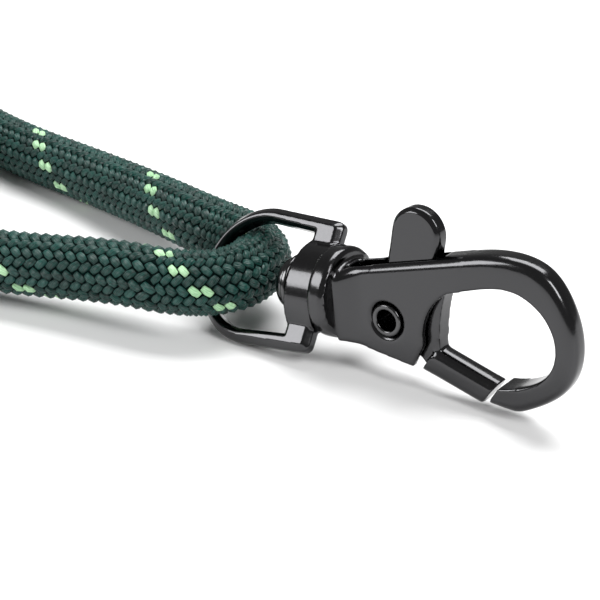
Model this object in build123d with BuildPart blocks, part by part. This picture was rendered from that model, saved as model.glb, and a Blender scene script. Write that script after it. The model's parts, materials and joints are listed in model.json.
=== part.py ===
from build123d import *
import math
import os

# Lanyard: a loop of 8 mm braided cord folded through the ring of a swivel snap hook.
# The hook stands on edge on a flat surface and points along +X, and the cord's two legs run
# back along -X to the coil in which the rest of the loop is put away.

# ---- driving dimensions, mm and degrees ------------------------------------------------------
# swivel centre, where the ring's bar crosses the swivel axis
swivel_x, swivel_y, swivel_z = -9.05, 0.0, 8.25
axis_rise = 6.5             # the swivel axis climbs towards the hook's nose
ring_turn = 36.0            # the ring is turned this far about the swivel axis

cord_dia = 8.0
core_dia = 5.0

body_thick = 4.4
body_shoulder = 1.4         # rounding of the hook's outer edge
slot_width = 2.6
collar_dia, collar_start, collar_end = 11.0, 2.1, 4.7
collar_round = 0.7
slot_start = 5.6

lever_thick = 2.2
lever_bevel = 0.45
lever_end = (14.95, 8.8)    # middle of the lever's round end, from the swivel centre
lever_width, lever_shank = 6.4, 6.0
lever_lean = 13.0           # lever's lean towards the nose
gate_bar_thick = 3.2
gate_bar_edge = 1.3         # the bar is nearly round
gate_gap = 0.3              # gate's end to the hook's tip
web_wall = 0.6              # web outside the spring's pocket

pivot_x, pivot_y = 11.1, -1.6
pivot_shank_dia = 3.4
pivot_wall, pivot_hole_depth = 0.4, 3.2
pivot_rim_roll = 0.25       # how far each rim is rolled out past the shank
pivot_rim_proud = 0.12
pivot_rim_round = 0.25
countersink_room = 0.5      # countersink's edge to the rim
running_gap = 0.05          # radial clearance of a part that turns on a pin

spring_wire, spring_turns = 0.4, 2
spring_gap = 0.1            # spring to the rivet and to its pocket

ring_thick = 2.5
ring_bar_in, ring_bar_out = -2.25, 1.55
ring_room = 0.1             # ring's half width, at the straight bar, over the cord's diameter
ring_flare = 0.5            # how far each arm spreads from the bar to the bow
ring_bow_x = -8.6
ring_opening_shift = 0.35   # the opening's bow lies this much further back, so the bow is slimmer
ring_arm = 1.75
ring_outer_bevel = 0.75
ring_inner_bevel = 0.45
ring_corner = 1.0
hub_half_length, hub_half_depth = 5.3, 3.7

post_dia = 3.6
post_head_dia, post_head_height = 6.4, 1.5
washer_dia, washer_thick = 7.3, 0.7
end_gap = 0.1               # axial play in the swivel

coil_x, coil_y = -131.0, -14.0
coil_turn_radius = 45.0     # middle of the wound turns
sleeve_length, sleeve_wall = 30.0, 0.45
sleeve_angle = 200.0        # where on the coil's upper turn the sleeve lies

# The cord's route from the coil, through the ring and back to the coil. Each point is (x, y, z).
lying = cord_dia / 2        # the cord's middle where it lies on the surface
cord_route = [
    (-107.0, 30.6, lying), (-94.0, 26.6, lying), (-79.5, 21.5, lying),
    (-64.0, 17.6, lying + 0.3), (-47.0, 13.6, lying + 1.2), (-33.6, 10.2, lying + 2.5),
    (-24.1, 9.4, lying + 2.8), (-19.5, 4.1, lying + 2.8), (-19.5, -4.4, lying + 2.8),
    (-24.1, -9.6, lying + 2.8), (-33.6, -10.7, lying + 2.5), (-47.0, -13.3, lying + 1.1),
    (-62.0, -17.0, lying + 0.3), (-76.0, -25.5, lying), (-87.0, -37.0, lying),
]

os.makedirs("parts", exist_ok=True)

# ---- placement --------------------------------------------------------------------------------
rise = math.radians(axis_rise)
hook_plane = Plane(
    origin=(swivel_x, swivel_y, swivel_z),
    x_dir=(math.cos(rise), 0, math.sin(rise)),
    z_dir=(0, -1, 0),
)
ring_plane = Plane(
    origin=hook_plane.origin,
    x_dir=hook_plane.x_dir,
    z_dir=hook_plane.z_dir.rotate(Axis((0, 0, 0), hook_plane.x_dir), -ring_turn),
)


def across(plane, station):
    """The plane square to the swivel axis at a distance from the swivel centre."""
    return Plane(
        origin=plane.from_local_coords((station, 0, 0)), x_dir=plane.y_dir, z_dir=plane.x_dir
    )


def polar(centre, radius, degrees):
    """A point in a sketch, at an angle and distance from a centre."""
    angle = math.radians(degrees)
    return (centre[0] + radius * math.cos(angle), centre[1] + radius * math.sin(angle))


pivot = (pivot_x, pivot_y)
pivot_rim_dia = pivot_shank_dia + 2 * pivot_rim_roll
pivot_hole_dia = pivot_shank_dia - 2 * pivot_wall
countersink_dia = pivot_rim_dia + 2 * countersink_room
half_body = body_thick / 2
ring_half_width = cord_dia + ring_room

# ---- hook body: die casting with a collar, two cheeks and the hooked arm -----------------------
body_root = collar_end - 0.4
arm_start = (18.9, 6.9)
throat = (19.6, 3.0)
cheek_corner = (14.3, -6.8)
tip_inner, tip_outer = (25.2, -7.5), (23.6, -9.75)

with BuildPart() as hook_body:
    with BuildSketch(hook_plane):
        with BuildLine():
            Polyline((body_root, -4.9), (body_root, 3.8), arm_start)
            Spline(
                arm_start, (26.0, 8.05), (31.0, 6.9), (33.9, 2.9), (34.8, -2.0),
                (32.7, -7.2), (28.0, -10.05), tip_outer,
                tangents=[(0.978, 0.208), (-1.0, 0.16)],
            )
            Line(tip_outer, tip_inner)
            Spline(
                tip_inner, (28.6, -6.65), (31.5, -4.5), (32.3, -1.8), (30.9, 2.0),
                (27.6, 4.15), (22.6, 3.75), throat,
            )
            ThreePointArc(throat, (16.5, -0.3), (15.85, -4.0))
            Polyline((15.85, -4.0), cheek_corner, (body_root, -4.9))
        make_face()
    extrude(amount=half_body, both=True)
    flanks = hook_body.faces().filter_by(lambda face: abs(face.normal_at().Y) > 0.99).edges()
    outer_edges = flanks.filter_by(lambda edge: hook_plane.to_local_coords(edge.center()).Y > 4.6)
    outer_edges += flanks.filter_by(lambda edge: edge.length > 30)
    fillet(outer_edges, body_shoulder)
    with BuildSketch(across(hook_plane, collar_start)):
        Circle(collar_dia / 2)
    extrude(amount=collar_end - collar_start)
    rims = hook_body.edges().filter_by(GeomType.CIRCLE)
    fillet(rims.filter_by(lambda edge: abs(edge.radius - collar_dia / 2) < 0.01), collar_round)
    # slot between the cheeks, open along the top, the bottom and the throat
    with BuildSketch(hook_plane):
        with BuildLine():
            Polyline(
                (slot_start, 9.0), (18.6, 9.0), (18.6, 6.0), (throat[0] + 0.5, throat[1] - 0.6),
                (throat[0] + 0.5, -9.0), (slot_start, -9.0), close=True,
            )
        make_face()
    extrude(amount=slot_width / 2, both=True, mode=Mode.SUBTRACT)
    # gate rivet's hole with a countersink in each cheek
    with BuildSketch(hook_plane):
        with Locations(pivot):
            Circle(pivot_shank_dia / 2)
    extrude(amount=half_body, both=True, mode=Mode.SUBTRACT)
    for side in (1, -1):
        with BuildSketch(hook_plane.offset(side * half_body)):
            with Locations(pivot):
                Circle(countersink_dia / 2)
        countersink_depth = (countersink_dia - pivot_shank_dia) / 2
        extrude(amount=-side * countersink_depth, taper=side * 44, mode=Mode.SUBTRACT)
    # blind bore in the collar for the swivel rivet
    with BuildSketch(across(hook_plane, collar_start)):
        Circle(post_dia / 2)
    extrude(amount=slot_start - collar_start, mode=Mode.SUBTRACT)

# ---- gate: thumb lever, web and gate bar in one casting ---------------------------------------
spring_radius = (pivot_shank_dia + spring_wire) / 2 + spring_gap
spring_pitch = 1.1 * spring_wire
spring_height = spring_pitch * spring_turns + spring_wire
pocket_radius = spring_radius + spring_wire / 2 + 3 * spring_gap
lever_angle = 90 - lever_lean
lever_left = polar(lever_end, lever_width / 2, lever_angle + 90)
lever_right = polar(lever_end, lever_width / 2, lever_angle - 90)
lever_foot_left = polar(lever_left, -lever_shank, lever_angle)
lever_foot_right = polar(lever_right, -lever_shank, lever_angle)
gate_cut = math.radians(52.0)
cut_x, cut_y = math.cos(gate_cut), math.sin(gate_cut)
gate_end_top = (tip_inner[0] - gate_gap / cut_y, tip_inner[1] + 0.17)
bar_top, bar_low = (17.1, -4.5), (14.75, -7.5)
gate_end_low = (gate_end_top[0] - 3.68 * cut_x, gate_end_top[1] - 3.68 * cut_y)

with BuildPart() as gate_lever:
    # thumb lever with a bevelled round end
    with BuildSketch(hook_plane):
        with BuildLine():
            Polyline(lever_left, lever_foot_left, lever_foot_right, lever_right)
            ThreePointArc(lever_left, polar(lever_end, lever_width / 2, lever_angle), lever_right)
        make_face()
    extrude(amount=lever_thick / 2, both=True)
    chamfer(gate_lever.faces().filter_by(Axis.Y).edges(), lever_bevel)
    # gate bar across the mouth, nearly round
    with BuildSketch(hook_plane):
        with BuildLine():
            Polyline(bar_top, gate_end_top, gate_end_low, bar_low, close=True)
        make_face()
    extrude(amount=gate_bar_thick / 2, both=True)
    bar_edges = gate_lever.faces(Select.LAST).filter_by(Axis.Y).edges()
    fillet(bar_edges.filter_by(lambda edge: edge.length > 4), gate_bar_edge)
    # web between the cheeks, with a hub round the rivet
    with BuildSketch(hook_plane):
        with Locations(pivot):
            Circle(pocket_radius + web_wall)
        with BuildLine():
            Polyline((8.2, -0.9), (10.6, 4.2), (17.1, 4.9), (18.6, 2.6))
            ThreePointArc((18.6, 2.6), (17.7, -0.8), (17.4, -4.7))
            Polyline((17.4, -4.7), (15.6, -6.6), (13.6, -4.6), (8.2, -0.9))
        make_face()
    extrude(amount=lever_thick / 2, both=True)
    with BuildSketch(hook_plane):
        with Locations(pivot):
            Circle(pivot_shank_dia / 2 + running_gap)
    extrude(amount=half_body, both=True, mode=Mode.SUBTRACT)
    # pocket for the spring in the hidden side
    with BuildSketch(hook_plane.offset(-lever_thick / 2)):
        with Locations(pivot):
            Circle(pocket_radius)
    extrude(amount=spring_height + spring_gap, mode=Mode.SUBTRACT)

# ---- gate rivet: semi-tubular, with both rims rolled out into the countersinks -----------------
with BuildPart() as gate_pivot_rivet:
    with BuildSketch(hook_plane):
        with Locations(pivot):
            Circle(pivot_shank_dia / 2)
    extrude(amount=half_body + pivot_rim_proud, both=True)
    rim_depth = pivot_rim_roll + pivot_rim_proud
    for side in (1, -1):
        with BuildSketch(hook_plane.offset(side * (half_body + pivot_rim_proud - rim_depth))):
            with Locations(pivot):
                Circle(pivot_rim_dia / 2)
        extrude(amount=side * rim_depth)
    with BuildSketch(hook_plane.offset(half_body + pivot_rim_proud)):
        with Locations(pivot):
            Circle(pivot_hole_dia / 2)
    extrude(amount=-pivot_hole_depth, mode=Mode.SUBTRACT)
    ends = gate_pivot_rivet.faces().sort_by(Axis.Y)
    fillet(ends[0].edges() + ends[-1].edges(), pivot_rim_round)

# ---- gate spring: torsion spring in the gate's pocket ------------------------------------------
spring_start = hook_plane.from_local_coords(
    (pivot_x, pivot_y, (spring_wire - lever_thick) / 2)
)
with BuildPart() as gate_spring:
    with BuildLine() as spring_path:
        Helix(
            spring_pitch, spring_pitch * spring_turns, spring_radius,
            center=spring_start, direction=hook_plane.z_dir,
        )
    spring_line = spring_path.wire()
    with BuildSketch(
        Plane(origin=spring_line @ 0, z_dir=spring_line % 0, x_dir=hook_plane.z_dir)
    ):
        Circle(spring_wire / 2)
    sweep(path=spring_line, is_frenet=True)

# ---- swivel ring: bevelled D with a hub in its straight bar ------------------------------------
def d_shape(bar, half_width, bow_x, radius):
    """The outline of a D: a straight bar, two arms that spread a little, and a round bow."""
    top, bottom = (bow_x, radius), (bow_x, -radius)
    with BuildSketch() as outline:
        with BuildLine():
            Polyline(bottom, (bar, -half_width), (bar, half_width), top)
            ThreePointArc(top, (bow_x - radius, 0), bottom)
        make_face()
    return outline.sketch


half_ring = ring_thick / 2
ring_bow_radius = ring_half_width + ring_flare
ring_outline = d_shape(ring_bar_out, ring_half_width, ring_bow_x, ring_bow_radius)
ring_outline = fillet(ring_outline.vertices().group_by(Axis.X)[-1], ring_corner)
ring_opening = d_shape(
    ring_bar_in, ring_half_width - ring_arm, ring_bow_x - ring_opening_shift,
    ring_bow_radius - ring_arm,
)
with BuildPart() as swivel_ring:
    with BuildSketch(ring_plane):
        add(ring_outline)
    extrude(amount=half_ring, both=True)
    chamfer(swivel_ring.faces().filter_by(ring_plane).edges(), ring_outer_bevel)
    with BuildSketch(ring_plane):
        add(ring_opening)
    extrude(amount=half_ring, both=True, mode=Mode.SUBTRACT)
    for side in (1, -1):
        with BuildSketch(ring_plane.offset(side * half_ring)):
            add(ring_opening)
            offset(amount=ring_inner_bevel, kind=Kind.INTERSECTION)
        extrude(amount=-side * ring_inner_bevel, taper=45, mode=Mode.SUBTRACT)
    with BuildSketch(across(ring_plane, ring_bar_in)):
        with BuildLine():
            ThreePointArc((-hub_half_length, 0.9), (0, hub_half_depth), (hub_half_length, 0.9))
            Line((hub_half_length, 0.9), (hub_half_length, -0.9))
            ThreePointArc((hub_half_length, -0.9), (0, -hub_half_depth), (-hub_half_length, -0.9))
            Line((-hub_half_length, -0.9), (-hub_half_length, 0.9))
        make_face()
    extrude(amount=ring_bar_out - ring_bar_in)
    with BuildSketch(across(ring_plane, ring_bar_in)):
        Circle(post_dia / 2 + running_gap)
    extrude(amount=ring_bar_out - ring_bar_in, mode=Mode.SUBTRACT)

# ---- swivel rivet and its washer ----------------------------------------------------------------
washer_start = ring_bar_in - end_gap - washer_thick
with BuildPart() as swivel_washer:
    with BuildSketch(across(hook_plane, washer_start)):
        Circle(washer_dia / 2)
        Circle(post_dia / 2, mode=Mode.SUBTRACT)
    extrude(amount=washer_thick)
    washer_rims = swivel_washer.edges().filter_by(GeomType.CIRCLE).group_by(SortBy.RADIUS)[-1]
    fillet(washer_rims, 0.25)

with BuildPart() as swivel_rivet:
    with BuildSketch(across(hook_plane, washer_start)):
        Circle(post_dia / 2)
    extrude(amount=slot_start - 0.3 - washer_start)
    with BuildSketch(across(hook_plane, washer_start - post_head_height)):
        Circle(post_head_dia / 2)
    extrude(amount=post_head_height)
    head_rim = swivel_rivet.edges().filter_by(GeomType.CIRCLE).group_by(
        lambda edge: round(hook_plane.to_local_coords(edge.center()).X, 3)
    )[0]
    fillet(head_rim, post_head_height - 0.3)

# ---- cord: the stretch that is not coiled -------------------------------------------------------
def corner_radii(points):
    """The radius of the arc at each inner point of a route: 0.45 of its shorter run."""
    radii = []
    for before, corner, after in zip(points, points[1:], points[2:]):
        run_in, run_out = Vector(corner) - Vector(before), Vector(after) - Vector(corner)
        half_turn = math.radians(run_in.get_angle(run_out)) / 2
        radii.append(0.45 * min(run_in.length, run_out.length) / math.tan(half_turn))
    return radii


radii = corner_radii(cord_route)
print("cord arc radii", [round(radius, 1) for radius in radii])

with BuildPart() as rope_sheath:
    with BuildLine() as cord_line:
        FilletPolyline(*cord_route, radius=radii)
    with BuildSketch(
        Plane(origin=cord_line.line @ 0, z_dir=cord_line.line % 0)
    ):
        Circle(cord_dia / 2)
        Circle(core_dia / 2, mode=Mode.SUBTRACT)
    sweep(path=cord_line.line)

with BuildPart() as rope_core:
    with BuildLine() as core_line:
        FilletPolyline(*cord_route, radius=radii)
    with BuildSketch(Plane(origin=core_line.line @ 0, z_dir=core_line.line % 0)):
        Circle(core_dia / 2)
    sweep(path=core_line.line)

uncoiled = cord_line.wire().length
section = math.pi * (cord_dia**2 - core_dia**2) / 4
print("cord uncoiled length", round(uncoiled, 1), "volume ratio",
      round(rope_sheath.part.volume / (section * uncoiled), 4))

# ---- cord: the coiled stretch, two turns below and one above ------------------------------------
coil_outer = coil_turn_radius + cord_dia
coil_inner = coil_turn_radius - cord_dia
lower_height = cord_dia
upper_height = 0.9 * cord_dia
upper_centre = lower_height + upper_height - cord_dia / 2
sleeve_centre = polar((coil_x, coil_y), coil_turn_radius, sleeve_angle)
sleeve_dia = cord_dia + 2 * sleeve_wall
sleeve_z = lower_height + sleeve_dia / 2 + 0.1
sleeve_plane = Plane(
    origin=(*sleeve_centre, sleeve_z),
    x_dir=(0, 0, 1),
    z_dir=(-math.sin(math.radians(sleeve_angle)), math.cos(math.radians(sleeve_angle)), 0),
)
with BuildPart() as rope_coil:
    with BuildSketch():
        with Locations((coil_x, coil_y)):
            Circle(coil_outer)
            Circle(coil_inner, mode=Mode.SUBTRACT)
    extrude(amount=lower_height)
    with BuildSketch(Plane.XY.offset(lower_height)):
        with Locations((coil_x, coil_y)):
            Circle(coil_turn_radius + cord_dia / 2)
            Circle(coil_turn_radius - cord_dia / 2, mode=Mode.SUBTRACT)
    extrude(amount=upper_height)
    # room for the joining sleeve in the upper turn
    with BuildSketch(sleeve_plane.offset(-sleeve_length / 2)):
        Rectangle(2 * sleeve_dia, 2 * sleeve_dia)
    extrude(amount=sleeve_length, mode=Mode.SUBTRACT)

with BuildPart() as joining_sleeve:
    with BuildSketch(sleeve_plane.offset(-sleeve_length / 2)):
        Circle(sleeve_dia / 2)
        Circle(cord_dia / 2, mode=Mode.SUBTRACT)
    extrude(amount=sleeve_length)

# ---- write one file per piece -------------------------------------------------------------------
pieces = {
    "hook_body": hook_body,
    "gate_lever": gate_lever,
    "gate_pivot_rivet": gate_pivot_rivet,
    "gate_spring": gate_spring,
    "swivel_ring": swivel_ring,
    "swivel_rivet": swivel_rivet,
    "swivel_washer": swivel_washer,
    "rope_sheath": rope_sheath,
    "rope_core": rope_core,
    "rope_coil": rope_coil,
    "joining_sleeve": joining_sleeve,
}
for name, piece in pieces.items():
    piece.part.label = name
    export_step(piece.part, f"parts/{name}.step")
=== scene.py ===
"""A neck lanyard: braided cord folded through the ring of a swivelling snap hook.

The frame gives each metal piece's shape and place. This script finishes the castings, braids
the cord round its route, and lights the whole on a pale floor.
"""

import json
import logging
import math
from dataclasses import dataclass
from enum import Enum

import bmesh
import bpy
import numpy as np
from mathutils import Matrix, Vector
from mathutils.bvhtree import BVHTree

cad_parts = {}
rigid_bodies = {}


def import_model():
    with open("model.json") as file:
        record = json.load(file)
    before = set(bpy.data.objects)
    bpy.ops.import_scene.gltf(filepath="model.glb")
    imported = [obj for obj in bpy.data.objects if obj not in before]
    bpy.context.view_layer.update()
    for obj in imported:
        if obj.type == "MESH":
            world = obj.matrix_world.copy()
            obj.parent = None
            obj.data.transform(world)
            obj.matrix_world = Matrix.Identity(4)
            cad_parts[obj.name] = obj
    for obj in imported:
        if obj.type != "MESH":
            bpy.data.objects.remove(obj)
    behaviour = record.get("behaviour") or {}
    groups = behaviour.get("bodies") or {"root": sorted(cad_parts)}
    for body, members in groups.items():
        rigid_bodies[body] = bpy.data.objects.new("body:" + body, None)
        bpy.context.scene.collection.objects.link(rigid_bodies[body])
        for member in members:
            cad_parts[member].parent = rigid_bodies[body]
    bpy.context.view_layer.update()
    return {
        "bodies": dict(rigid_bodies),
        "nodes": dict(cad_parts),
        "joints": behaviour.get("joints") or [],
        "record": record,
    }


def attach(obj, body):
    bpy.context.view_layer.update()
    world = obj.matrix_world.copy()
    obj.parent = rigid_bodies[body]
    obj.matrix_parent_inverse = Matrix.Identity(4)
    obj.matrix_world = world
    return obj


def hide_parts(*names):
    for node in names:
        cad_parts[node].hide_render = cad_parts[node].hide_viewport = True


MM = 0.001
TURN = 2 * math.pi
log = logging.getLogger("lanyard")


class Lean(Enum):
    """The hand of a carrier's helix round the cord."""

    RIGHT = 1
    LEFT = -1


# ---- finishes -------------------------------------------------------------------------------


class Shader:
    """A material under construction: one Principled shader and the nodes that feed it."""

    def __init__(self, name: str, **sockets: float | tuple) -> None:
        """Starts a material with a Principled shader.

        Args:
            name: The material's name.
            sockets: Principled inputs by name, with underscores for spaces.
        """
        self.material = bpy.data.materials.new(name)
        self.material.use_nodes = True
        self.tree = self.material.node_tree
        self.surface = self.tree.nodes["Principled BSDF"]
        for socket, value in sockets.items():
            self.surface.inputs[socket.replace("_", " ")].default_value = value

    def node(self, kind: str, settings: dict | None = None, **sockets: object) -> bpy.types.Node:
        """Adds a node.

        Args:
            kind: The node's type without its "ShaderNode" prefix.
            settings: Properties of the node.
            sockets: Inputs by name: a value, or an output socket to link.

        Returns:
            The new node.
        """
        made = self.tree.nodes.new("ShaderNode" + kind)
        for name, value in (settings or {}).items():
            setattr(made, name, value)
        for name, value in sockets.items():
            socket = made.inputs[name.replace("_", " ")]
            if isinstance(value, bpy.types.NodeSocket):
                self.tree.links.new(value, socket)
            else:
                socket.default_value = value
        return made

    def math(self, operation: str, *values: object) -> bpy.types.NodeSocket:
        """Adds a Math node.

        Args:
            operation: The node's operation.
            values: Its inputs in order, numbers or output sockets.

        Returns:
            The node's output socket.
        """
        made = self.node("Math", {"operation": operation})
        for socket, value in zip(made.inputs, values):
            if isinstance(value, bpy.types.NodeSocket):
                self.tree.links.new(value, socket)
            else:
                socket.default_value = value
        return made.outputs[0]

    def ramp(self, factor: bpy.types.NodeSocket, *stops: tuple) -> bpy.types.NodeSocket:
        """Adds a colour ramp.

        Args:
            factor: What drives it.
            stops: (position, red, green, blue) from first to last.

        Returns:
            The ramp's colour socket.
        """
        made = self.node("ValToRGB", Fac=factor)
        elements = made.color_ramp.elements
        while len(elements) < len(stops):
            elements.new(0.5)
        for element, (position, *colour) in zip(elements, stops):
            element.position = position
            element.color = (*colour, 1.0)
        return made.outputs["Color"]

    def feed(self, socket: str, source: bpy.types.NodeSocket) -> None:
        """Links a source to one of the Principled shader's inputs."""
        self.tree.links.new(source, self.surface.inputs[socket])

    def bump(self, height: bpy.types.NodeSocket, distance: float, strength: float) -> None:
        """Feeds the shader's normal from a height.

        Args:
            height: The height, from 0 to 1.
            distance: How far a height of 1 stands proud, in metres.
            strength: The bump's strength, from 0 to 1.
        """
        bump = self.node("Bump", Height=height, Distance=distance, Strength=strength)
        self.feed("Normal", bump.outputs["Normal"])


@dataclass(frozen=True)
class NickelFinish:
    """Polished black nickel plate over a tumbled casting."""

    name: str
    tint: tuple[float, float, float]
    polish: float = 0.1
    haze: float = 0.12
    ripple: float = 0.00002
    ripple_scale: float = 320.0
    haze_scale: float = 2600.0

    def material(self) -> bpy.types.Material:
        """Makes the plate: soft ripples left by tumbling and a faint uneven haze."""
        plate = Shader(self.name, Metallic=1.0, Base_Color=(*self.tint, 1.0))
        place = plate.node("TexCoord").outputs["Object"]
        wide = plate.node("TexNoise", Vector=place, Scale=self.ripple_scale, Detail=2.0)
        fine = plate.node("TexNoise", Vector=place, Scale=self.haze_scale, Detail=3.0)
        haze = plate.math("MULTIPLY_ADD", fine.outputs["Fac"], self.haze, self.polish)
        plate.feed("Roughness", haze)
        plate.bump(wide.outputs["Fac"], self.ripple, 0.5)
        return plate.material


@dataclass(frozen=True)
class YarnFinish:
    """Continuous-filament yarn laid in flat carriers, with fine fibres along each pick."""

    name: str
    # shade and light are the ramp's ends: painted shade for the grooves between fibres and a
    # painted highlight for the fibres' tops
    shade: tuple[float, float, float]
    light: tuple[float, float, float]
    gloss: float = 0.38
    fibres: float = 2.4
    relief: float = 0.00026
    slant: float = 0.22
    strand_relief: float = 0.16
    tone_share: float = 0.3
    # how strongly the fibres' height paints shade and highlight into the colour
    relief_shade_share: float = 0.75

    def material(self) -> bpy.types.Material:
        """Makes the yarn: streaks along the pick, painted shade in the grooves between fibres and
        a painted highlight on their tops, a tone for each pick, and a low sheen.
        """
        yarn = Shader(
            self.name, Roughness=self.gloss, Sheen_Weight=0.03, Sheen_Roughness=0.4,
            Specular_IOR_Level=0.42,
        )
        lay = yarn.node("UVMap", {"uv_map": "pick"}).outputs["UV"]
        apart = yarn.node("SeparateXYZ", Vector=lay)
        along, across = apart.outputs["X"], apart.outputs["Y"]
        twisted = yarn.math("MULTIPLY_ADD", along, self.slant, across)
        streaks = yarn.node("CombineXYZ", X=along, Y=yarn.math("MULTIPLY", twisted, self.fibres))
        fibres = yarn.node("TexNoise", Vector=streaks.outputs[0], Scale=1.0, Detail=3.0)
        strands = yarn.math("SINE", yarn.math("MULTIPLY", twisted, self.fibres * TURN))
        height = yarn.math("MULTIPLY_ADD", strands, self.strand_relief, fibres.outputs["Fac"])
        tone = yarn.node("Attribute", {"attribute_name": "tone"}).outputs["Fac"]
        # painted shade and highlight: the colour follows the bump's height, darker in the fibre
        # grooves and lighter on the fibre tops; the tone per pick is the yarn's own random
        # variation
        body = yarn.math("MULTIPLY", height, self.relief_shade_share)
        tone_and_relief_shade = yarn.math("MULTIPLY_ADD", tone, self.tone_share, body)
        yarn.feed("Base Color", yarn.ramp(tone_and_relief_shade, (0.15, *self.shade), (0.75, *self.light)))
        yarn.bump(height, self.relief, 0.8)
        return yarn.material


@dataclass(frozen=True)
class TubeFinish:
    """Plain tube surfaces: the sheath's ground, made near-black and dull as painted shade in the
    gaps between picks, and the shrink tube over the join.
    """

    name: str
    colour: tuple[float, float, float]
    roughness: float
    grain: float
    shine: float = 0.5

    def material(self) -> bpy.types.Material:
        """Makes the surface, with a fine grain."""
        tube = Shader(self.name, Roughness=self.roughness, Specular_IOR_Level=self.shine)
        place = tube.node("TexCoord").outputs["Object"]
        grain = tube.node("TexNoise", Vector=place, Scale=self.grain, Detail=4.0).outputs["Fac"]
        low = tuple(0.7 * c for c in self.colour)
        high = tuple(1.3 * c for c in self.colour)
        tube.feed("Base Color", tube.ramp(grain, (0.3, *low), (0.7, *high)))
        tube.bump(grain, 0.00003, 0.4)
        return tube.material


@dataclass(frozen=True)
class WireFinish:
    """Drawn spring wire."""

    name: str = "spring_wire"

    def material(self) -> bpy.types.Material:
        """Makes the wire, with draw marks of uneven gloss."""
        wire = Shader(self.name, Metallic=1.0, Base_Color=(0.3, 0.3, 0.31, 1.0))
        place = wire.node("TexCoord").outputs["Object"]
        marks = wire.node("TexNoise", Vector=place, Scale=4000.0, Detail=2.0).outputs["Fac"]
        wire.feed("Roughness", wire.math("MULTIPLY_ADD", marks, 0.2, 0.2))
        return wire.material


# ---- castings and turned pieces -------------------------------------------------------------


def finished(piece: bpy.types.Object, name: str) -> bpy.types.Object:
    """Applies a piece's modifiers.

    Args:
        piece: The piece, with live modifiers.
        name: The finished mesh's name.

    Returns:
        The same piece, with the result as its mesh.
    """
    graph = bpy.context.evaluated_depsgraph_get()
    mesh = bpy.data.meshes.new_from_object(piece.evaluated_get(graph))
    mesh.name = name
    piece.modifiers.clear()
    piece.data = mesh
    return piece


def linked(name: str, mesh: bpy.types.Mesh, material: bpy.types.Material) -> bpy.types.Object:
    """Puts a mesh in the scene, smooth-shaded and in one material.

    Args:
        name: The piece's name.
        mesh: Its mesh.
        material: Its material.

    Returns:
        The new object.
    """
    piece = bpy.data.objects.new(name, mesh)
    bpy.context.scene.collection.objects.link(piece)
    mesh.materials.clear()
    mesh.materials.append(material)
    mesh.shade_smooth()
    return piece


@dataclass
class Casting:
    """A die casting: its frame node's shape with the edges tumbled round."""

    node: str
    body: str
    name: str
    grain: float
    tumbling: int
    worn: tuple[tuple[float, float, float, float], ...] = ()
    rounds: int = 26
    taper: tuple[float, float, float] = (0.0, 1.0, 0.0)
    flare: float = 0.0
    flare_reach: float = 3.3 * MM

    # the swivel's middle (x, z) and the rise of its axis; where the collar ends along that axis;
    # and how far from the casting's middle the cheeks start to flare
    swivel_x, swivel_z = -9.05 * MM, 8.25 * MM
    swivel_rise = math.radians(6.5)
    collar_end = 4.7 * MM
    cheek_inside = 1.33 * MM

    def reshape(self, piece: bpy.types.Object) -> None:
        """Thins the casting along X, and flares its cheeks out to their collar.

        Args:
            piece: The casting, finely meshed.
        """
        start, end, amount = self.taper
        wall, rise = self.cheek_inside, self.swivel_rise
        for vertex in piece.data.vertices:
            x, y, z = vertex.co
            far = min(1.0, max(0.0, (x - start) / (end - start)))
            y *= 1 - amount * far * far * (3 - 2 * far)
            out, up = x - self.swivel_x, z - self.swivel_z
            along = out * math.cos(rise) + up * math.sin(rise)
            near = (along - self.collar_end) / self.flare_reach
            if 0 < near < 1 and abs(y) > wall:
                grown = 1 + self.flare * (1 - near) ** 2
                y = math.copysign(wall + (abs(y) - wall) * grown, y)
            vertex.co.y = y

    def soften(self, piece: bpy.types.Object) -> bpy.types.Object:
        """Rounds the casting's worn stretches further.

        Args:
            piece: The casting.

        Returns:
            The same piece.
        """
        group = piece.vertex_groups.new(name="worn")
        for vertex in piece.data.vertices:
            x, _, z = vertex.co
            if any(a < x < b and low < z < high for a, b, low, high in self.worn):
                group.add([vertex.index], 1.0, "REPLACE")
        rounding = piece.modifiers.new("rounding", "SMOOTH")
        rounding.factor, rounding.iterations = 0.5, self.rounds
        rounding.vertex_group = "worn"
        return finished(piece, self.name)

    def skinned(self, piece: bpy.types.Object, tumbling: int) -> bpy.types.Object:
        """Skins the casting in an even mesh and tumbles it.

        Args:
            piece: The casting.
            tumbling: Rounds of smoothing.

        Returns:
            The same piece.
        """
        skin = piece.modifiers.new("skin", "REMESH")
        skin.mode, skin.voxel_size, skin.use_smooth_shade = "VOXEL", self.grain, True
        if tumbling:
            tumbled = piece.modifiers.new("tumbled", "SMOOTH")
            tumbled.factor, tumbled.iterations = 0.5, tumbling
        return finished(piece, self.name)

    def build(self, frame: dict, material: bpy.types.Material) -> bpy.types.Object:
        """Makes the casting.

        Args:
            frame: The loaded frame.
            material: The plate it is finished in.

        Returns:
            The casting, riding on its body in place of its node.
        """
        shell = bmesh.new()
        shell.from_mesh(frame["nodes"][self.node].data)
        bmesh.ops.remove_doubles(shell, verts=shell.verts, dist=1e-7)
        mesh = bpy.data.meshes.new(self.name)
        shell.to_mesh(mesh)
        shell.free()
        piece = linked(self.name, mesh, material)
        if self.flare:
            piece = self.skinned(piece, 0)
            self.reshape(piece)
        piece = self.skinned(piece, self.tumbling)
        if self.worn:
            piece = self.soften(piece)
        piece.data.materials.clear()
        piece.data.materials.append(material)
        piece.data.shade_smooth()
        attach(piece, self.body)
        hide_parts(self.node)
        return piece


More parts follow.
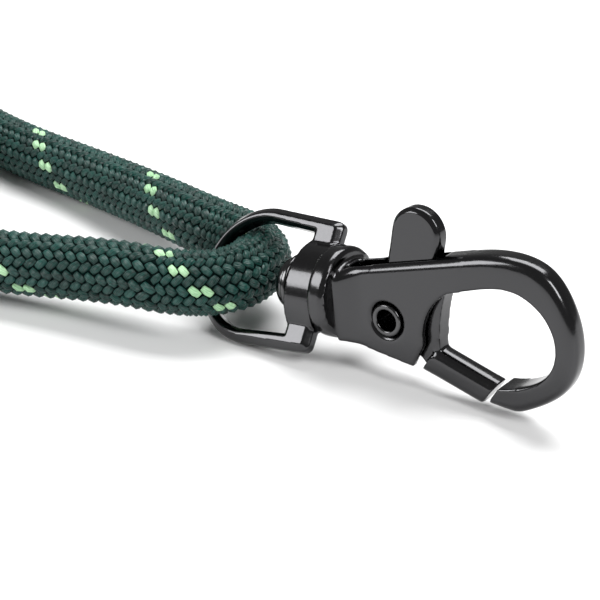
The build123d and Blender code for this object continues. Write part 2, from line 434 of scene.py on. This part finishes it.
class SnapHook:
    """The hook, its gate and the swivel ring, with the small turned pieces between them."""

    castings = (
        Casting(
            "hook_body", "hook", "hook_casting", 0.13 * MM, 9,
            (
                (-5.2 * MM, -0.4 * MM, -MM, 25 * MM), (11.5 * MM, 30 * MM, 7 * MM, 25 * MM),
                (19 * MM, 30 * MM, -MM, 25 * MM),
            ),
            rounds=44, taper=(9.5 * MM, 23.0 * MM, 0.24), flare=1.5,
        ),
        Casting(
            "gate_lever", "gate", "gate_casting", 0.1 * MM, 8,
            ((7.9 * MM, 15.4 * MM, -MM, 7 * MM),), rounds=60,
        ),
        Casting("swivel_ring", "ring", "ring_casting", 0.11 * MM, 14),
    )
    turned = ("gate_pivot_rivet", "swivel_rivet", "swivel_washer")

    def __init__(self) -> None:
        """Mixes the metal finishes."""
        self.plate = NickelFinish("black_nickel", (0.058, 0.058, 0.06)).material()
        self.rivet_plate = NickelFinish("rivet_nickel", (0.08, 0.08, 0.082), ripple=0.0).material()
        self.wire = WireFinish().material()

    def build(self, frame: dict) -> dict[str, bpy.types.Object]:
        """Makes the castings and dresses the frame's turned pieces.

        Args:
            frame: The loaded frame.

        Returns:
            The castings by node name.
        """
        made = {}
        for casting in self.castings:
            made[casting.node] = casting.build(frame, self.plate)
            log.info("%s: %d faces", casting.name, len(made[casting.node].data.polygons))
        for node in self.turned:
            self.dress(frame["nodes"][node], self.rivet_plate)
        self.dress(frame["nodes"]["gate_spring"], self.wire)
        return made

    def dress(self, piece: bpy.types.Object, material: bpy.types.Material) -> None:
        """Gives a frame node its finish."""
        piece.data.materials.clear()
        piece.data.materials.append(material)


# ---- cord -----------------------------------------------------------------------------------


@dataclass
class CordRoute:
    """The cord's line: the two legs as listed points, and the coil's turns by a loop. Sizes in mm.
    """

    coil_centre: tuple[float, float] = (-131.0, -14.0)
    coil_start: float = 67.7
    points_a_turn: int = 18
    sleeve_at: float = 852.3
    sleeve_half: float = 18.5
    # degrees wound where the coil's points start and stop, and from the join to either mouth
    coil_first: float = 6.0
    coil_last: float = 968.0
    mouth: float = 1.5
    front_leg: tuple = (
        (-86.5, -35.5, 4.2), (-76.0, -25.0, 4.3), (-62.0, -16.1, 4.6), (-47.0, -12.2, 5.4),
        (-33.6, -9.0, 6.9), (-24.3, -7.6, 7.2), (-20.0, -3.3, 7.1),
    )
    back_leg: tuple = (
        (-20.0, 2.9, 7.1), (-24.3, 7.4, 7.1), (-33.6, 8.8, 6.9), (-47.0, 13.8, 5.5),
        (-64.0, 17.8, 4.5), (-80.0, 20.0, 4.2), (-96.0, 24.0, 4.2),
    )
    # (degrees wound, radius, height) along the coil
    windings: tuple = (
        (0.0, 48.8, 4.2), (150.0, 48.8, 4.2), (215.0, 40.5, 4.2), (465.0, 40.5, 4.2),
        (500.0, 40.5, 6.7), (545.0, 41.2, 11.0), (590.0, 44.8, 11.0), (815.0, 44.8, 11.0),
        (833.0, 45.0, 12.5), (872.0, 45.0, 12.5), (890.0, 45.0, 11.5), (925.0, 46.0, 10.5),
        (950.0, 48.3, 6.1), (978.0, 48.8, 4.2),
    )

    def wound(self, degrees: float) -> tuple[float, float, float]:
        """A control point of the coil, set out a little so that the spline keeps its radius.

        Args:
            degrees: How far the cord has been wound from where the back leg meets the coil.

        Returns:
            The point, in mm.
        """
        wound, radii, heights = zip(*self.windings)
        radius = np.interp(degrees, wound, radii) / math.cos(math.pi / self.points_a_turn)
        height = np.interp(degrees, wound, heights)
        angle = math.radians(self.coil_start + degrees)
        x, y = self.coil_centre
        return (x + radius * math.cos(angle), y + radius * math.sin(angle), float(height))

    def turns(self, first: float, last: float) -> list[tuple[float, float, float]]:
        """Control points from one winding angle to another.

        Args:
            first: Degrees wound at the start.
            last: Degrees wound at the end.

        Returns:
            The points, evenly spaced.
        """
        steps = max(1, round((last - first) * self.points_a_turn / 360))
        return [self.wound(first + (last - first) * k / steps) for k in range(steps + 1)]

    def points(self) -> list[tuple[float, float, float]]:
        """The whole cord's control points, from one mouth of the join to the other."""
        out = self.turns(self.sleeve_at + self.mouth, self.coil_last)
        back = self.turns(self.coil_first, self.sleeve_at - self.mouth)
        return [*out, *self.front_leg, *self.back_leg, *back]

    def sleeve_points(self) -> list[tuple[float, float, float]]:
        """Control points of the sleeve over the join."""
        return self.turns(self.sleeve_at - self.sleeve_half, self.sleeve_at + self.sleeve_half)


def spline_line(points: list[tuple[float, float, float]], name: str) -> np.ndarray:
    """Points along a smooth spline.

    Args:
        points: Its control points, in mm.
        name: A name for the spline.

    Returns:
        Points read from the spline, in metres, one row each.
    """
    curve = bpy.data.curves.new(name, "CURVE")
    curve.dimensions = "3D"
    spline = curve.splines.new("NURBS")
    spline.points.add(len(points) - 1)
    for knot, point in zip(spline.points, points):
        knot.co = (*(MM * c for c in point), 1.0)
    spline.order_u = 3
    spline.use_endpoint_u = True
    spline.resolution_u = 14
    holder = bpy.data.objects.new(name, curve)
    mesh = bpy.data.meshes.new_from_object(holder)
    line = np.array([v.co for v in mesh.vertices], float)
    bpy.data.objects.remove(holder)
    bpy.data.meshes.remove(mesh)
    return line


class CordLine:
    """A line with a frame carried along it, so that a point can be set by length and angle."""

    def __init__(self, line: np.ndarray) -> None:
        """Carries the frame along the line without twist.

        Args:
            line: The line's points in metres, one row each.
        """
        self.line = line
        steps = np.linalg.norm(np.diff(line, axis=0), axis=1)
        self.station = np.concatenate(([0.0], np.cumsum(steps)))
        self.length = float(self.station[-1])
        tangents = np.gradient(line, self.station, axis=0)
        tangents /= np.linalg.norm(tangents, axis=1)[:, None]
        side = Vector(tangents[0]).orthogonal().normalized()
        sides = [side]
        for before, after in zip(tangents, tangents[1:]):
            turn = Vector(before).rotation_difference(Vector(after))
            side = turn @ side
            sides.append(side)
        self.side = np.array(sides)
        self.up = np.cross(tangents, self.side)

    def nearest(self, point: tuple[float, float, float]) -> float:
        """The length along the line of its point nearest to a place in mm."""
        away = np.linalg.norm(self.line - MM * np.array(point), axis=1)
        return float(self.station[np.argmin(away)])

    def place(self, station: np.ndarray, angle: np.ndarray, radius: np.ndarray) -> np.ndarray:
        """Points round the line.

        Args:
            station: Lengths along the line, in metres.
            angle: Angles round it, in radians.
            radius: Distances from it, in metres.

        Returns:
            The points, one row each.
        """
        def carried(rows: np.ndarray) -> np.ndarray:
            return np.stack([np.interp(station, self.station, rows[:, k]) for k in range(3)], 1)

        out = carried(self.side) * np.cos(angle)[:, None]
        out = out + carried(self.up) * np.sin(angle)[:, None]
        out /= np.linalg.norm(out, axis=1)[:, None]
        return carried(self.line) + out * radius[:, None]


@dataclass
class Braid:
    """A braided sheath: carriers in both hands, each passing over two and under two."""

    line: CordLine
    pitch: float = 29.0 * MM
    carriers: int = 18
    crown: float = 4.15 * MM
    ground: float = 3.62 * MM
    root: float = 3.4 * MM
    pick_width: float = 0.63 * MM
    pick_length: float = 1.03 * MM
    turned: float = 0.0
    fold: tuple[float, float] = (0.0, 1.0)
    gathered: float = 0.0
    along: int = 4
    across: int = 4
    # crossings from one of a carrier's picks to its next
    repeat: int = 4
    # how far a pick narrows to its ends, and how its top falls away to its sides and ends
    narrowing: float = 0.25
    side_fall: float = 2.4
    side_round: float = 0.45
    end_fall: float = 2.8

    def picks(self, lean: Lean, chosen: range | tuple) -> np.ndarray:
        """Where one hand's picks lie.

        Args:
            lean: The carriers' hand.
            chosen: Which carriers.

        Returns:
            Rows of (station, angle, squeeze) at the picks' middles.
        """
        crossing = self.pitch / (2 * self.carriers)
        start, end = self.fold
        full = self.line.length + self.gathered
        squeeze = (end - start) / (end - start + self.gathered)
        last = int(full / crossing) - 2
        rows = []
        for carrier in chosen:
            if lean is Lean.RIGHT:
                first = (-2 * carrier) % self.repeat
            else:
                first = (2 * carrier + 1) % self.repeat
            numbers = np.arange(first + self.repeat, last, self.repeat) + 0.5
            laid = numbers * crossing
            angles = TURN * (lean.value * laid / self.pitch + carrier / self.carriers)
            stations = np.interp(
                laid, (0, start, end + self.gathered, full), (0, start, end, self.line.length)
            )
            squeezes = np.where((stations > start) & (stations < end), squeeze, 1.0)
            rows.append(np.stack([stations, angles + self.turned, squeezes], 1))
        return np.concatenate(rows)

    def pick_mesh(self, name: str, picks: np.ndarray, lean: Lean, seed: int) -> bpy.types.Mesh:
        """Makes one mesh of many picks.

        Args:
            name: The mesh's name.
            picks: Rows of (station, angle, squeeze).
            lean: The carriers' hand.
            seed: Seeds the picks' tones.

        Returns:
            The mesh, with a "pick" UV map and a "tone" attribute.
        """
        patch = bmesh.new()
        bmesh.ops.create_grid(patch, x_segments=self.along, y_segments=self.across, size=1.0)
        grid = np.array([v.co[:2] for v in patch.verts])
        faces = np.array([[v.index for v in f.verts] for f in patch.faces])
        patch.free()
        t, b = np.sin(grid * math.pi / 2).T
        slope = math.atan2(TURN * self.crown, self.pitch)
        a = t * self.pick_length
        c = b * self.pick_width * (1 - self.narrowing * t**2)
        sides = np.clip(1 - np.abs(b) ** self.side_fall, 0, 1) ** self.side_round
        lift = sides * (1 - np.abs(t) ** self.end_fall)
        radius = self.root + (self.crown - self.root) * lift
        station = a * math.cos(slope) - lean.value * c * math.sin(slope)
        angle = (lean.value * a * math.sin(slope) + c * math.cos(slope)) / self.crown
        stations = picks[:, :1] + station[None, :] * picks[:, 2:]
        angles = picks[:, 1:2] + angle[None, :]
        radii = np.broadcast_to(radius, stations.shape)
        points = self.line.place(stations.ravel(), angles.ravel(), radii.ravel())
        offsets = np.arange(len(picks))[:, None, None] * len(grid)
        corners = (faces[None] + offsets).reshape(-1, 4)
        mesh = bpy.data.meshes.new(name)
        mesh.from_pydata(points, [], corners)
        shift = np.random.default_rng(seed).random((len(picks), 3))
        u = t[None, :] * 1.2 + 7 * shift[:, :1]
        v = b[None, :] + 5 * shift[:, 1:2]
        flat = np.stack([u, v], 2).reshape(-1, 2)
        layer = mesh.uv_layers.new(name="pick")
        layer.data.foreach_set("uv", flat[corners.ravel()].astype(np.float32).ravel())
        tone = mesh.attributes.new("tone", "FLOAT", "POINT")
        tone.data.foreach_set("value", np.repeat(shift[:, 2], len(grid)).astype(np.float32))
        return mesh

    def ground_mesh(self, name: str, radius: float, step: float, sides: int) -> bpy.types.Mesh:
        """Makes a closed tube round the whole line.

        Args:
            name: The mesh's name.
            radius: The tube's radius.
            step: Spacing of its rings.
            sides: Sides of each ring.

        Returns:
            The mesh.
        """
        rings = int(self.line.length / step)
        stations = np.linspace(0, self.line.length, rings + 1)
        angles = np.arange(sides) * TURN / sides
        s, w = np.meshgrid(stations, angles, indexing="ij")
        points = self.line.place(s.ravel(), w.ravel(), np.full(s.size, radius))
        ring, side = np.meshgrid(np.arange(rings), np.arange(sides), indexing="ij")
        after = (side + 1) % sides
        here, there = ring * sides, (ring + 1) * sides
        quads = [here + side, here + after, there + after, there + side]
        faces = np.stack(quads, -1).reshape(-1, 4).tolist()
        faces.append(list(range(sides))[::-1])
        faces.append([rings * sides + k for k in range(sides)])
        mesh = bpy.data.meshes.new(name)
        mesh.from_pydata(points, [], faces)
        return mesh


class NeckCord:
    """The whole cord: sheath ground, braided picks, mint tracers and the sleeve at its join."""

    diameter = 8.0 * MM
    tracers = (0, 1)
    ring_pivot = (-19.5 * MM, 0.0, 6.8 * MM)
    ring_swing = math.radians(15.5)
    fold_start, fold_end = (-26.0, -8.2, 7.3), (-31.0, 8.5, 7.0)
    front_turn = math.radians(-183.0)
    ground_step, ground_sides = 0.8 * MM, 28
    sleeve_radius, sleeve_step, sleeve_sides = 4.3 * MM, 1.0 * MM, 32
    ground_gap, pick_gap = 0.3 * MM, 0.06 * MM
    # the ring presses only the cord past dent_x, in steps of press mm towards its middle
    dent_x, middle_x, ring_near = -33 * MM, -45 * MM, 2 * MM
    press, presses = 0.08, 22

    def __init__(self) -> None:
        """Mixes the yarns and lays the cord's line."""
        self.route = CordRoute()
        self.line = CordLine(spline_line(self.route.points(), "cord_line"))
        # each yarn runs from painted shade in its fibre grooves to a painted highlight on its
        # fibre tops
        self.green = YarnFinish(
            "green_yarn", (0.0006, 0.006, 0.005), (0.009, 0.072, 0.058)
        ).material()
        self.mint = YarnFinish("mint_yarn", (0.26, 0.52, 0.27), (0.58, 0.9, 0.55)).material()
        # the ground under the picks is near-black and barely reflecting: painted shade for the
        # gaps between picks
        self.gap_shade = TubeFinish(
            "sheath_ground_shade", (0.0012, 0.005, 0.0045), roughness=0.95, grain=900.0, shine=0.04
        ).material()
        self.shrink = TubeFinish(
            "shrink_tube", (0.012, 0.013, 0.013), roughness=0.45, grain=500.0
        ).material()

    def build(self, ring: bpy.types.Object) -> list[bpy.types.Object]:
        """Makes the cord.

        Args:
            ring: The ring that the cord bears on, which dents it.

        Returns:
            The cord's pieces, the ground tube first.
        """
        fold = (self.line.nearest(self.fold_start), self.line.nearest(self.fold_end))
        gathered = -self.front_turn / TURN * Braid.pitch
        braid = Braid(self.line, turned=self.front_turn, fold=fold, gathered=gathered)
        tube = braid.ground_mesh(
            "cord_ground", braid.ground, self.ground_step, self.ground_sides
        )
        ground = linked("cord_ground", tube, self.gap_shade)
        plain = tuple(k for k in range(braid.carriers) if k not in self.tracers)
        layers = (
            ("cord_right_carriers", Lean.RIGHT, plain, self.green),
            ("cord_left_carriers", Lean.LEFT, range(braid.carriers), self.green),
            ("cord_tracers", Lean.RIGHT, self.tracers, self.mint),
        )
        pieces = [ground]
        for seed, (name, lean, chosen, yarn) in enumerate(layers):
            mesh = braid.pick_mesh(name, braid.picks(lean, chosen), lean, seed)
            pieces.append(linked(name, mesh, yarn))
        for piece in pieces:
            self.dent(piece, ring, gap=self.ground_gap if piece is ground else self.pick_gap)
        pieces.append(self.sleeve())
        for piece in pieces:
            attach(piece, "rope")
            log.info("%s: %d faces", piece.name, len(piece.data.polygons))
        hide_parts("rope_sheath", "rope_core", "rope_coil")
        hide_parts("joining_sleeve")
        return pieces

    def sleeve(self) -> bpy.types.Object:
        """Makes the shrink tube over the join: a plain tube, closed at its ends."""
        line = CordLine(spline_line(self.route.sleeve_points(), "sleeve_line"))
        tube = Braid(line).ground_mesh(
            "join_sleeve", self.sleeve_radius, self.sleeve_step, self.sleeve_sides
        )
        return linked("join_sleeve", tube, self.shrink)

    def dent(self, piece: bpy.types.Object, ring: bpy.types.Object, gap: float) -> None:
        """Presses a piece of the cord inwards, clear of the ring all through its swing.

        Args:
            piece: The cord's piece.
            ring: The ring.
            gap: How far clear, in metres.
        """
        pivot = Vector(self.ring_pivot)
        faces = [p.vertices for p in ring.data.polygons]
        trees = []
        most = self.ring_swing
        for swing in (0.0, -most / 2, most / 2, -most, most):
            turn = Matrix.Rotation(swing, 3, (0.0, -1.0, 0.0))
            turned = [pivot + turn @ (v.co - pivot) for v in ring.data.vertices]
            trees.append(BVHTree.FromPolygons(turned, faces))

        def clear(place: Vector) -> bool:
            for tree in trees:
                near, normal, _, _ = tree.find_nearest(place, self.ring_near)
                if near is not None and (place - near).dot(normal) < gap:
                    return False
            return True

        middle = self.line.line[self.line.line[:, 0] > self.middle_x]
        for vertex in piece.data.vertices:
            place = vertex.co.copy()
            if place.x < self.dent_x or clear(place):
                continue
            core = Vector(middle[np.argmin(np.linalg.norm(middle - np.array(place), axis=1))])
            step = (core - place).normalized() * self.press * MM
            for _ in range(self.presses):
                place += step
                if clear(place):
                    vertex.co = place
                    break


# ---- studio ---------------------------------------------------------------------------------


@dataclass(frozen=True)
class Softbox:
    """A rectangular softbox, aimed at a point. Sizes in metres, power in watts."""

    name: str
    place: tuple[float, float, float]
    aim: tuple[float, float, float]
    width: float
    height: float
    power: float

    def build(self) -> None:
        """Hangs the softbox."""
        lamp = bpy.data.lights.new(self.name, "AREA")
        lamp.shape, lamp.size, lamp.size_y = "RECTANGLE", self.width, self.height
        lamp.energy = self.power
        holder = bpy.data.objects.new(self.name, lamp)
        bpy.context.scene.collection.objects.link(holder)
        holder.location = self.place
        facing = Vector(self.aim) - Vector(self.place)
        holder.rotation_euler = facing.to_track_quat("-Z", "Y").to_euler()


class Studio:
    """The pale floor, the softboxes and the camera."""

    softboxes = (
        Softbox("back_softbox", (-0.12, 0.36, 0.74), (-0.02, 0.0, 0.0), 0.7, 0.5, 9.0),
        Softbox("right_softbox", (0.55, -0.1, 0.5), (0.0, 0.0, 0.01), 0.22, 0.35, 3.0),
        Softbox("left_softbox", (-0.45, -0.45, 0.35), (-0.02, 0.0, 0.0), 0.35, 0.3, 2.8),
    )
    camera_place = (92.95 * MM, -139.0 * MM, 88.0 * MM)
    camera_turn = (math.radians(64.7), 0.0, math.radians(37.0))
    lens = 96.0
    floor_size = 4.0
    room_light = 0.23

    def build(self) -> None:
        """Builds the studio."""
        self.floor()
        self.surround()
        for softbox in self.softboxes:
            softbox.build()
        self.camera()
        bpy.context.scene.view_settings.view_transform = "Standard"

    def floor(self) -> None:
        """Lays a wide pale floor."""
        slab = bmesh.new()
        bmesh.ops.create_grid(slab, x_segments=1, y_segments=1, size=self.floor_size)
        mesh = bpy.data.meshes.new("floor")
        slab.to_mesh(mesh)
        slab.free()
        pale = Shader("pale_floor", Base_Color=(0.88, 0.88, 0.88, 1.0), Roughness=0.6)
        floor = linked("floor", mesh, pale.material)

    def surround(self) -> None:
        """Sets the room's own light."""
        world = bpy.data.worlds.new("room")
        bpy.context.scene.world = world
        world.use_nodes = True
        air = world.node_tree.nodes["Background"]
        air.inputs["Color"].default_value = (1.0, 1.0, 1.0, 1.0)
        air.inputs["Strength"].default_value = self.room_light

    def camera(self) -> None:
        """Sets up the camera."""
        lens = bpy.data.cameras.new("camera")
        lens.lens, lens.sensor_width = self.lens, 36.0
        lens.clip_start, lens.clip_end = 0.01, 20.0
        holder = bpy.data.objects.new("camera", lens)
        bpy.context.scene.collection.objects.link(holder)
        holder.location = self.camera_place
        holder.rotation_euler = self.camera_turn
        bpy.context.scene.camera = holder


def corners(box: tuple[Vector, Vector]) -> list[list[float]]:
    """A box's two corners as plain lists."""
    return [list(corner) for corner in box]


def main() -> None:
    """Builds the lanyard around its frame and lights it."""
    logging.basicConfig(level=logging.INFO, format="%(name)s %(message)s")
    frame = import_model()
    Studio().build()
    castings = SnapHook().build(frame)
    cord = NeckCord()
    pieces = cord.build(castings["swivel_ring"])
    log.info("cord length %.3f m, %d pieces", cord.line.length, len(pieces))


if __name__ == "__main__":
    main()
